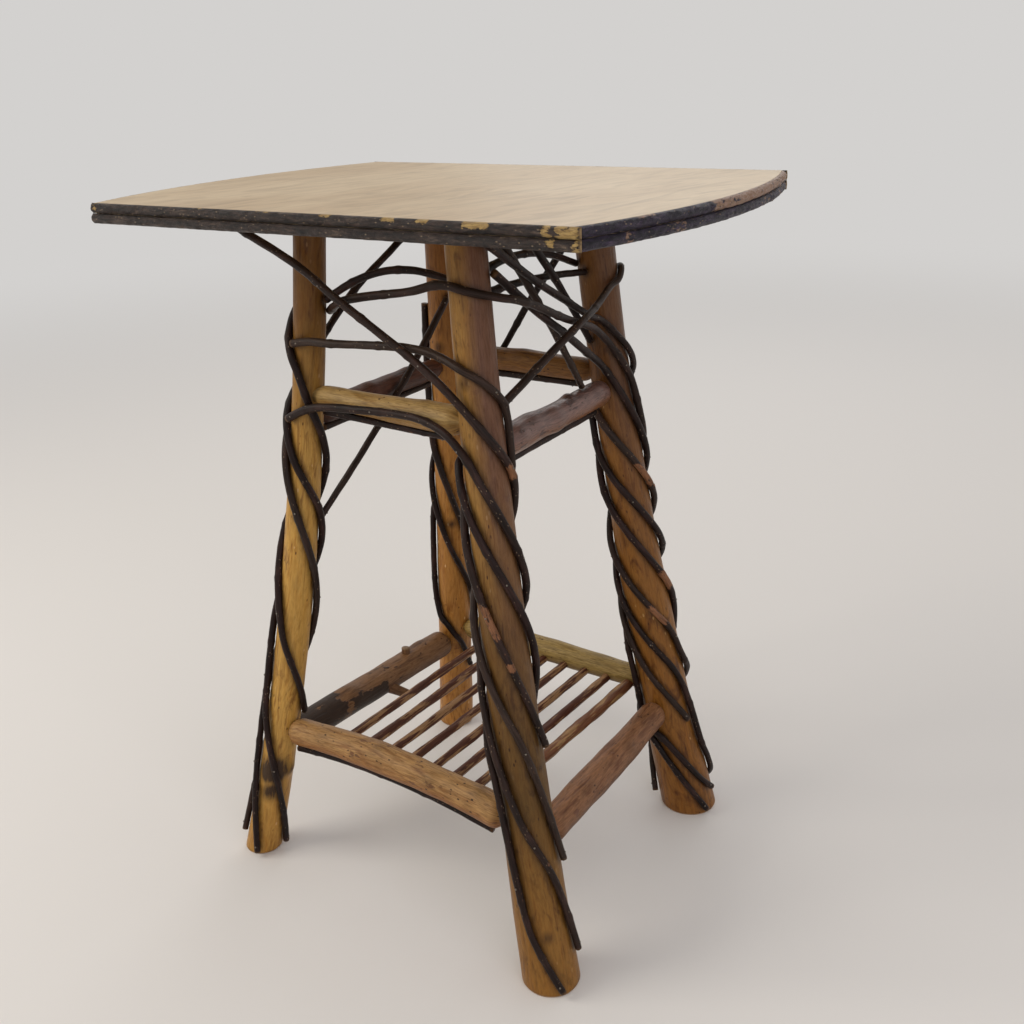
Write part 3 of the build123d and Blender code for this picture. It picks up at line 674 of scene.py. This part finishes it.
def make_leg(node, seed, lines):
    """A sapling leg: slow swellings, low knots, and a foot whose sawn edge is worn round."""
    rings = leg_rings(node)
    path, at = even(eased(rings[:, :3], 2), BRANCH_STEP)
    radius = np.interp(path[:, 2], rings[:, 2], rings[:, 3])
    radius = radius - FOOT_ROUNDING * np.clip(1 - path[:, 2] / (2 * FOOT_ROUNDING), 0, 1) ** 2
    turn = directions(LEG_SIDES)
    shape = np.repeat(radius[:, None], LEG_SIDES, axis=1)
    darkness = np.zeros_like(shape)
    for z, angle, high, wide, dark in LEG_KNOTS[node]:
        knot = knot_shape(path[:, 2], z * MM, turn, angle, radius, wide)
        shape = shape + high * MM * knot
        darkness = np.maximum(darkness, dark * knot)
    material = varnished_sapling(node.replace("leg", "hickory_sapling"), **LEG_FINISHES[node])
    rough = [(60 * MM, 0.9 * MM), (14 * MM, 0.35 * MM)]
    piece = round_piece(node + "_sapling", path, at, shape, LEG_SIDES, seed, rough, material, level=True)
    add_value(piece, "knot", darkness.reshape(-1))
    shade_and_stain_beside(piece, lines)
    placed(piece, "varnished_legs", node)


# ---- stretchers and slats ----

# Each under colour is painted shade on the underside, with the tone of the varnish that ran there.
STRETCHER_FINISHES = {
    "upper_stretcher_front": dict(light="#b3935c", dark="#9a7741", under="#9c7138"),
    # The upper right's pale purplish light and dark tones are in part painted sheen.
    "upper_stretcher_right": dict(
        light="#7f5f56", dark="#543d38", under="#86542c", bark_share=0.2, bark="#4a3430",
        rough=0.3, shine=0.45
    ),
    "upper_stretcher_back": dict(light="#80582a", dark="#5d3b1a", under="#86592a"),
    "upper_stretcher_left": dict(light="#664030", dark="#43261b", under="#38211a"),
    "lower_stretcher_front": dict(
        light="#ab8352", dark="#8c6238", under="#945a25", bark_share=0.12, bark="#6d4930"
    ),
    "lower_stretcher_right": dict(
        light="#8f6444", dark="#734a30", under="#563623", bark_share=0.1, bark="#674332"
    ),
    "lower_stretcher_back": dict(light="#a28850", dark="#866c38", under="#6f5024"),
    "lower_stretcher_left": dict(
        light="#85603f", dark="#634329", under="#4c3120", bark_share=0.05, bark="#261b15"
    ),
}
# Knots and swellings: share of the length, direction in degrees with 0 outwards and 90 up, how proud and how
# wide in millimetres, and how dark.
STRETCHER_KNOTS = {
    "upper_stretcher_front": [(0.2, 60, 1.0, 10, 0.3), (0.72, 80, 0.9, 9, 0.3)],
    "upper_stretcher_right": [
        (0.17, 35, 1.6, 12, 0.4), (0.30, 95, 2.0, 18, 0.3), (0.46, 50, 1.4, 9, 0.4),
        (0.62, 92, 3.2, 6, 0.9), (0.47, -40, 1.4, 10, 0.3), (0.84, 60, 1.6, 9, 0.6)
    ],
    "upper_stretcher_back": [(0.5, 90, 1.5, 12, 0.4)],
    "upper_stretcher_left": [(0.4, 60, 2.0, 10, 0.5), (0.7, 80, 2.0, 10, 0.5)],
    "lower_stretcher_front": [
        (0.22, 40, 1.6, 10, 0.5), (0.46, 70, 1.4, 11, 0.4), (0.68, 35, 2.0, 9, 0.6),
        (0.85, 80, 1.6, 9, 0.5)
    ],
    "lower_stretcher_right": [(0.3, 50, 1.2, 10, 0.5), (0.62, 30, 1.6, 9, 0.6), (0.8, 70, 1.2, 10, 0.5)],
    "lower_stretcher_back": [(0.3, 60, 1.2, 14, 0.3), (0.75, 70, 1.0, 12, 0.3)],
    "lower_stretcher_left": [(0.35, 60, 2.4, 12, 0.6), (0.8, 110, 2.0, 10, 0.5)],
}
# Bark that was left on a stretcher: from and to, as shares of its length, the direction, and how far it
# reaches to each side, in degrees.
BARK_LEFT = {"lower_stretcher_left": [(0.02, 0.32, 30, 150), (0.28, 0.56, -15, 62)]}
# Stumps of side branches on the lower left stretcher: share of its length, the way and reach from its middle,
# and the thickness at the root and at the tip, in millimetres.
STUMPS = {"fork": (0.52, (30, 19, -17), 17, 10), "stub": (0.70, (0, 0, 23), 12, 9)}


TENON_RADIUS = 8 * MM       # knots fade out from a stretcher's body to its tenon, over the next value
KNOT_FADE = 4 * MM
BARK_EDGE = 0.06            # of the length, over which bark that was left on thins out
BARK_EDGE_ROUND = 0.5       # and so round the branch, in radians
BARK_LEFT_ON = 0.32
SLAT_TENON = 4.2 * MM       # a slat with a smaller radius is its tenon, and has no flats
WHITTLED_FLATS = 6
FLAT_HALF = 0.6             # half a flat's width in radians
FLAT_SWAY, FLAT_WAVE = 0.25, 90 * MM    # how far a flat winds about, and over what length


def make_stretcher(node, seed, lines):
    """A peeled branch with knots, whittled down to its tenons over a short round shoulder."""
    a, b, rings = branch_line(node)
    path, at = even(np.array([a, b]), BRANCH_STEP)
    radius = np.interp(at, rings[:, 0], rings[:, 1])
    smooth = np.convolve(np.pad(radius, 1, mode="edge"), [0.25, 0.5, 0.25], mode="valid")
    turn = directions(BRANCH_SIDES)
    shape = np.repeat(smooth[:, None], BRANCH_SIDES, axis=1)
    body = np.clip((smooth - TENON_RADIUS) / KNOT_FADE, 0, 1)[:, None]
    darkness = np.zeros_like(shape)
    for share, angle, high, wide, dark in STRETCHER_KNOTS[node]:
        knot = knot_shape(at, share * at[-1], turn, -angle, smooth, wide) * body
        shape = shape + high * MM * knot
        darkness = np.maximum(darkness, dark * knot)
    bark = np.zeros_like(shape)
    for first, last, angle, reach in BARK_LEFT.get(node, []):
        along = np.clip(np.minimum(at / at[-1] - first, last - at / at[-1]) / BARK_EDGE, 0, 1)
        gap = wrapped(turn + math.radians(angle))
        round_it = np.clip((math.radians(reach) - np.abs(gap)) / BARK_EDGE_ROUND, 0, 1)
        bark = np.maximum(bark, BARK_LEFT_ON * along[:, None] * round_it[None, :])
    material = peeled_branch("peeled_branch_" + node, **STRETCHER_FINISHES[node])
    rough = [(45 * MM, 1.5 * MM), (12 * MM, 0.6 * MM)]
    path = bow(node, path, at)
    piece = round_piece(node + "_branch", path, at, shape, BRANCH_SIDES, seed, rough, material)
    add_value(piece, "knot", darkness.reshape(-1))
    add_value(piece, "bark", bark.reshape(-1))
    shade_and_stain_beside(piece, lines)
    placed(piece, "peeled_stretchers", node)
    if node == "lower_stretcher_left":
        for stump, (share, reach, root, tip) in STUMPS.items():
            make_stump(stump, a + (b - a) * share, np.array(reach) * MM, root, tip, seed, material)


def make_stump(name, start, reach, root, tip, seed, material):
    """A side branch cut short, swelling out into the branch that it grew from."""
    path, at = even(np.array([start, start + reach]), STUMP_STEP)
    share = at / at[-1]
    thick = (root + (tip - root) * share**0.6) * MM / 2 * (1 + 0.7 * np.exp(-share * 5))
    rough = [(9 * MM, 0.8 * MM)]
    piece = round_piece("lower_left_" + name, path, at, thick, STUMP_SIDES, seed + 3, rough, material)
    placed(piece, "peeled_stretchers")


def make_slat(node, seed, material):
    """A stick whittled to uneven long flats, with round tenons."""
    a, b, rings = branch_line(node)
    path, at = even(np.array([a, b]), BRANCH_STEP)
    radius = np.interp(at, rings[:, 0], rings[:, 1])
    body = (radius > SLAT_TENON)[:, None]
    turn = directions(SLAT_SIDES)
    shape = np.repeat(radius[:, None], SLAT_SIDES, axis=1)
    for k in range(WHITTLED_FLATS):
        middle = 2 * math.pi * k / WHITTLED_FLATS + seed * 0.7 + 0.35 * math.sin(seed * 3 + k * 2)
        drift = FLAT_SWAY * np.sin(at / FLAT_WAVE * 2 * math.pi + seed + k)
        gap = wrapped(turn[None, :] - middle - drift[:, None])
        flat = radius[:, None] * math.cos(math.pi / 6.5) / np.maximum(np.cos(gap), 0.5)
        shape = np.where((np.abs(gap) < FLAT_HALF) & body, np.minimum(shape, flat), shape)
    rough = [(22 * MM, 0.55 * MM), (7 * MM, 0.35 * MM)]
    piece = round_piece(node + "_stick", path, at, shape, SLAT_SIDES, seed, rough, material)
    placed(piece, "whittled_slats", node)


# ---- bark edging ----

# Places along an edge where the bark is broken away: from and to in millimetres, how far gone it is, and how
# far down from the strip's top edge it goes, as a share.
WORN = {
    "upper_edging_front": [
        (-246, -240, 0.5, 1.0), (-120, -108, 0.3, 0.3), (-56, -32, 0.3, 0.3), (14, 30, 0.45, 0.35),
        (76, 92, 0.5, 0.4), (108, 124, 0.5, 0.4), (150, 178, 0.5, 0.5), (217, 230, 0.40, 0.8),
        (228, 252, 0.42, 1.0)
    ],
    "lower_edging_front": [(-118, -112, 0.35, 0.4), (221, 232, 0.40, 0.7), (243, 252, 0.45, 1.0)],
    "upper_edging_right": [(-45, 206, 0.38, 0.9), (-150, -120, 0.35, 0.25)],
    "lower_edging_right": [
        (-165, -150, 0.28, 1.0), (-110, -80, 0.22, 1.0), (-20, 60, 0.12, 1.0), (60, 206, 0.2, 1.0)
    ],
    "upper_edging_left": [(-120, -80, 0.3, 0.4), (40, 70, 0.3, 0.4)],
    "upper_edging_back": [(-160, -120, 0.3, 0.4), (60, 110, 0.3, 0.4)],
}
STRIP_BULGE = 5.0 * MM      # the room that a strip has from its flat face outwards
STRIP_STEP = 1.4 * MM
STRIP_POINTS = 15           # round a strip's half round
STRIP_END = 3 * MM          # run over which a strip's end is rounded
STRIP_END_LOSS = 2.2 * MM   # and how much its bulge loses there
WORN_EDGE = 8 * MM          # run over which a broken place begins and ends
BOW_POINTS = 60             # along a bowed end


def edge_line(side):
    """Points along one side of the top's outline, at the strip's flat face."""
    low, high = (np.array(c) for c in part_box("upper_edging_" + side))
    if side in ("front", "back"):
        y = low[1] + STRIP_BULGE if side == "front" else high[1] - STRIP_BULGE
        return np.array([(low[0], y, 0), (high[0], y, 0)])
    sign = 1 if side == "right" else -1
    deep = high[0] - low[0] - STRIP_BULGE
    half = (high[1] - low[1]) / 2
    arc = (half**2 + deep**2) / (2 * deep)
    crown = (high[0] if sign > 0 else -low[0]) - STRIP_BULGE
    spread = math.asin(half / arc)
    steps = np.linspace(-spread, spread, BOW_POINTS)
    return np.stack([sign * (crown - arc + arc * np.cos(steps)), arc * np.sin(steps), 0 * steps], axis=1)


def make_strip(level, side, seed, material):
    """A half-round strip of bark-covered sapling along one side, a little uneven in height and bulge."""
    node = f"{level}_edging_{side}"
    low, high = (np.array(c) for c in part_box(node))
    path, at = even(edge_line(side), STRIP_STEP)
    ways = np.gradient(path, axis=0)
    ways /= np.linalg.norm(ways, axis=1)[:, None]
    outward = np.stack([ways[:, 1], -ways[:, 0], 0 * ways[:, 0]], axis=1)
    if outward[len(path) // 2] @ path[len(path) // 2] < 0:
        outward = -outward
    tall = high[2] - low[2]
    profile = [(0, 0.01 * tall)]
    for t in np.linspace(-0.5 * math.pi, 0.5 * math.pi, STRIP_POINTS):
        profile.append((STRIP_BULGE * (0.10 + 0.72 * math.cos(t)), tall * (0.5 + 0.495 * math.sin(t))))
    profile.append((0, 0.99 * tall))
    lengths = np.concatenate([[0], np.cumsum([math.dist(p, q) for p, q in zip(profile, profile[1:])])])
    rings = np.zeros((len(path), len(profile), 3))
    straight = np.zeros_like(rings)
    near_start, near_end = (np.clip(1 - far / STRIP_END, 0, 1) for far in (at, at[-1] - at))
    rounded = STRIP_END_LOSS * (near_start**2 + near_end**2)
    for j, (out, up) in enumerate(profile):
        spots = np.stack([at, np.full_like(at, lengths[j]), np.zeros_like(at)], axis=1)
        dent = 1.0 * MM * ripple(spots * (0.55, 1, 1), 2.9 * MM, seed)
        dent = dent + 0.7 * MM * ripple(spots, 9 * MM, seed + 3)
        dent = dent + 0.5 * MM * ripple(spots, 34 * MM, seed + 5)
        depth = np.clip(out + (dent - rounded) * (out > 0.4 * MM), 0, STRIP_BULGE)
        rings[:, j] = path + outward * depth[:, None] + np.array((0, 0, low[2] + up))
        straight[:, j] = np.stack([np.full_like(at, lengths[j]), np.full_like(at, seed * 0.31), at], axis=1)
    piece = skin(node + "_bark", rings, straight, material)
    worn = np.zeros(rings.shape[:2])
    down = 1 - np.linspace(0, 1, len(profile))
    place = path[:, 0] if side in ("front", "back") else path[:, 1]
    for start, end, gone, reach in WORN.get(node, []):
        inside = np.clip(np.minimum(place - start * MM, end * MM - place) / WORN_EDGE + 0.35, 0, 1)
        upper = np.clip((reach - down) / 0.3 + 0.6, 0, 1)
        worn = np.maximum(worn, gone * inside[:, None] * upper[None, :])
    add_value(piece, "worn", worn.reshape(-1))
    placed(piece, "bark_edging", node)


# ---- brads ----

BRAD_SPACING = 115 * MM
BRAD_HEAD = 1.0 * MM        # radius
BRAD_SIDES = 10
BRAD_RINGS = ((1.0, -0.5), (0.85, 0.25), (0.45, 0.5))   # share of that radius, and millimetres off the bark
BRAD_TOP, BRAD_FOOT = 0.58 * MM, -0.5 * MM
LEG_NEAR = 40 * MM          # a twig lies on a leg where its middle is this near to the leg's


def away_from_wood(point, legs):
    """The way that a twig's outer side faces: away from the leg that it lies on, or else from the table's
    middle."""
    nearest = point * (1, 1, 0)
    for rings in legs:
        middle = np.array([np.interp(point[2], rings[:, 2], rings[:, k]) for k in (0, 1)] + [0])
        out = point * (1, 1, 0) - middle
        if np.linalg.norm(out) < LEG_NEAR:
            nearest = out
    return nearest / np.linalg.norm(nearest)


def make_brads(lines, material):
    """Low domed heads of the small nails that hold each twig, at both ends and here and there between."""
    corners, faces = [], []
    legs = [leg_rings(node) for node in LEG_FINISHES]
    turn = directions(BRAD_SIDES)
    for node, path in sorted(lines.items()):
        count = max(1, round(len(path) * TWIG_STEP / BRAD_SPACING))
        for k in range(count + 1):
            i = min(max(round(k / count * (len(path) - 1)), 3), len(path) - 4)
            way = path[i + 1] - path[i - 1]
            way = way / np.linalg.norm(way)
            hanging = node.startswith("under_twig")
            out = np.array((0, 0, -1.0)) if hanging else away_from_wood(path[i], legs)
            out = out - way * (out @ way)
            out = out / np.linalg.norm(out)
            side = np.cross(way, out)
            first, second, third = (len(corners) + BRAD_SIDES * ring for ring in range(3))
            for wide, high in BRAD_RINGS:
                for t in turn:
                    around = BRAD_HEAD * wide * (way * math.cos(t) + side * math.sin(t))
                    corners.append(path[i] + out * (TWIG_RADIUS + high * MM) + around)
            top = len(corners)
            corners += [path[i] + out * (TWIG_RADIUS + far) for far in (BRAD_TOP, BRAD_FOOT)]
            for j in range(BRAD_SIDES):
                n = (j + 1) % BRAD_SIDES
                for low, high in ((first, second), (second, third)):
                    faces.append((low + n, low + j, high + j, high + n))
                faces.append((third + n, third + j, top))
                faces.append((first + j, first + n, top + 1))
    piece = new_piece("twig_brads", [tuple(c) for c in corners], faces, material)
    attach(piece, "root")


def brad_steel():
    """Steel wire brads gone dull: small grey glints on the dark bark."""
    sockets = {"Base Color": rgb("#7d756c"), "Metallic": 1.0, "Roughness": 0.38}
    return new_material("steel_brad_dulled", sockets)[0]


# ---- building the table ----

LEG_SEED, STRETCHER_SEED, EDGING_SEED = 3, 20, 60
shoot_bark = bark_twig()
shoot_lines = make_twigs(shoot_bark)
make_brads(shoot_lines, brad_steel())
for i, name in enumerate(LEG_FINISHES):
    make_leg(name, LEG_SEED + i, shoot_lines)
for i, name in enumerate(STRETCHER_FINISHES):
    make_stretcher(name, STRETCHER_SEED + i, shoot_lines)
slat_finish = whittled_slat("whittled_slat_red", "#9c7650", "#56301f")
last_slat_finish = whittled_slat("whittled_slat_pale", "#9c784f", "#74492f")
slats = sorted(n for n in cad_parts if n.startswith("shelf_slat_"))
for i, name in enumerate(slats):
    make_slat(name, i + 1, last_slat_finish if name == slats[-1] else slat_finish)
front_bark = edging_bark("split_sapling_bark_brown", "#1f1613", "#46362f", "#86725f", "#c8a868", 0.0)
right_bark = edging_bark("split_sapling_bark_bluish", "#17101f", "#372a41", "#746377", "#a88677", 0.16)
for i, side in enumerate(("front", "right", "back", "left")):
    for j, level in enumerate(("lower", "upper")):
        bark = right_bark if side == "right" else front_bark
        make_strip(level, side, EDGING_SEED + 2 * i + j, bark)
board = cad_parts["tabletop"]
board.data.materials.clear()
board.data.materials.append(veneered_top())

# ---- floor, light and camera ----

BACKDROP = "#d3d1cf"
FADE_FROM, FADE_TO = 1.0, 4.5       # metres from the table's middle where the floor turns into the backdrop
FLOOR_HALF = 9.0
AIM = (0, 0, 0.4)                   # where the lamps look, in metres


def backdrop_rays(material):
    """1 for the rays that see the backdrop: the camera's own, and those that a gloss or a glass sends on."""
    straight = add(material, "ShaderNodeLightPath", {}, "Is Camera Ray")
    mirrored = add(material, "ShaderNodeLightPath", {}, "Is Glossy Ray")
    through = add(material, "ShaderNodeLightPath", {}, "Is Transmission Ray")
    either = add(material, "ShaderNodeMath", {0: straight, 1: mirrored}, operation="MAXIMUM")
    return add(material, "ShaderNodeMath", {0: either, 1: through}, operation="MAXIMUM")


sockets = {"Base Color": rgb("#e2dfdc"), "Roughness": 0.8}
floor_material, floor_shader = new_material("pale_floor", sockets)
# Far out, and only as the camera and the glosses see it, the floor passes into the backdrop.
spot = add(floor_material, "ShaderNodeNewGeometry", {}, "Position")
far = add(floor_material, "ShaderNodeVectorMath", {0: spot}, "Value", operation="LENGTH")
reach = {0: far, 1: FADE_FROM, 2: FADE_TO}
fade = add(floor_material, "ShaderNodeMapRange", reach, interpolation_type="SMOOTHSTEP")
seen = {0: fade, 1: backdrop_rays(floor_material)}
fade = add(floor_material, "ShaderNodeMath", seen, operation="MULTIPLY")
haze = add(floor_material, "ShaderNodeEmission", {"Color": rgb(BACKDROP), "Strength": 1.0})
both = add(floor_material, "ShaderNodeMixShader", {0: fade, 1: floor_shader.outputs[0], 2: haze})
join(floor_material, floor_material.node_tree.nodes["Material Output"], "Surface", both)
floor_corners = [(x * FLOOR_HALF, y * FLOOR_HALF, 0) for x, y in ((-1, -1), (1, -1), (1, 1), (-1, 1))]
floor = new_piece("floor", floor_corners, [(0, 1, 2, 3)], floor_material)


def lamp(name, place, size, power, colour):
    """A soft square lamp that looks at the middle of the table."""
    light = bpy.data.lights.new(name, "AREA")
    light.size = size
    light.energy = power
    light.color = rgb(colour)[:3]
    holder = put(name, light)
    holder.location = place
    holder.rotation_mode = "QUATERNION"
    holder.rotation_quaternion = (Vector(AIM) - Vector(place)).to_track_quat("-Z", "Y")


lamp("window_left", (-1.7, -1.5, 1.9), 1.4, 30, "#fff8ec")
lamp("room_right", (1.9, -1.3, 1.5), 1.6, 10, "#f6f4ff")
lamp("back_fill", (-0.6, 2.2, 1.9), 1.6, 9, "#ffffff")
room = bpy.data.worlds.new("room")
room.use_nodes = True
bpy.context.scene.world = room
fill = room.node_tree.nodes["Background"]
fill.inputs["Color"].default_value = rgb("#e1dedb")
fill.inputs["Strength"].default_value = 0.8
backdrop = add(room, "ShaderNodeBackground", {"Color": rgb(BACKDROP), "Strength": 1.0})
both = add(room, "ShaderNodeMixShader", {0: backdrop_rays(room), 1: fill.outputs[0], 2: backdrop})
join(room, room.node_tree.nodes["World Output"], "Surface", both)
bpy.context.scene.view_settings.view_transform = "Standard"

CAMERA_PLACE = Vector((656.3, -952.6, 819.0)) * MM
CAMERA_WAY = Vector((-0.499, 0.790, -0.356))
CAMERA_ROLL = -0.0334
SENSOR = 36.0                       # millimetres across
FOCAL = 1205.0 / 1024.0 * SENSOR    # 1205 points of a view that is 1024 points wide
camera_data = bpy.data.cameras.new("camera")
camera_data.sensor_width = SENSOR
camera_data.lens = FOCAL
camera_data.clip_start = 0.05
camera = put("camera", camera_data)
facing = CAMERA_WAY.to_track_quat("-Z", "Y").to_matrix().to_4x4()
camera.matrix_world = Matrix.Translation(CAMERA_PLACE) @ facing @ Matrix.Rotation(CAMERA_ROLL, 4, "Z")
bpy.context.scene.camera = camera
